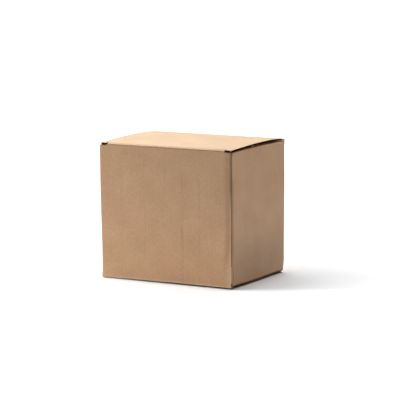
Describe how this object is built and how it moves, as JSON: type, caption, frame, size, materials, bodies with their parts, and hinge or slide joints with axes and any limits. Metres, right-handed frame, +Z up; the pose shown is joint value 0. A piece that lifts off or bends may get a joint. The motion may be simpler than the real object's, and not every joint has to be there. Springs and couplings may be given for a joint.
{
  "type": "closed cardboard box",
  "caption": "Small closed corrugated cardboard box with a crowned lid hinged at the back, tucked in at the front, a like base flap and a glued corner seam.",
  "frame": {"origin": "on the floor, under the middle of the box", "axes": "+X to the right along the wide front, +Y from the front to the back where the lid is hinged, +Z up"},
  "size_m": [0.11, 0.081, 0.1009],
  "materials": {
    "kraft_board": "uncoated brown kraft liner on fine-fluted corrugated board, matt"
  },
  "bodies": {
    "box": {"box_body": "kraft_board"},
    "lid": {"lid": "kraft_board"},
    "base": {"base_flap": "kraft_board"}
  },
  "joints": [
    {"name": "lid_hinge", "type": "hinge", "parent": "box", "child": "lid", "pos_m": [0, 0.0405, 0.0996], "axis": [-1, 0, 0], "range_deg": [0, 135]},
    {"name": "base_hinge", "type": "hinge", "parent": "box", "child": "base", "pos_m": [0, -0.0405, 0], "axis": [-1, 0, 0], "range_deg": [0, 135]}
  ]
}
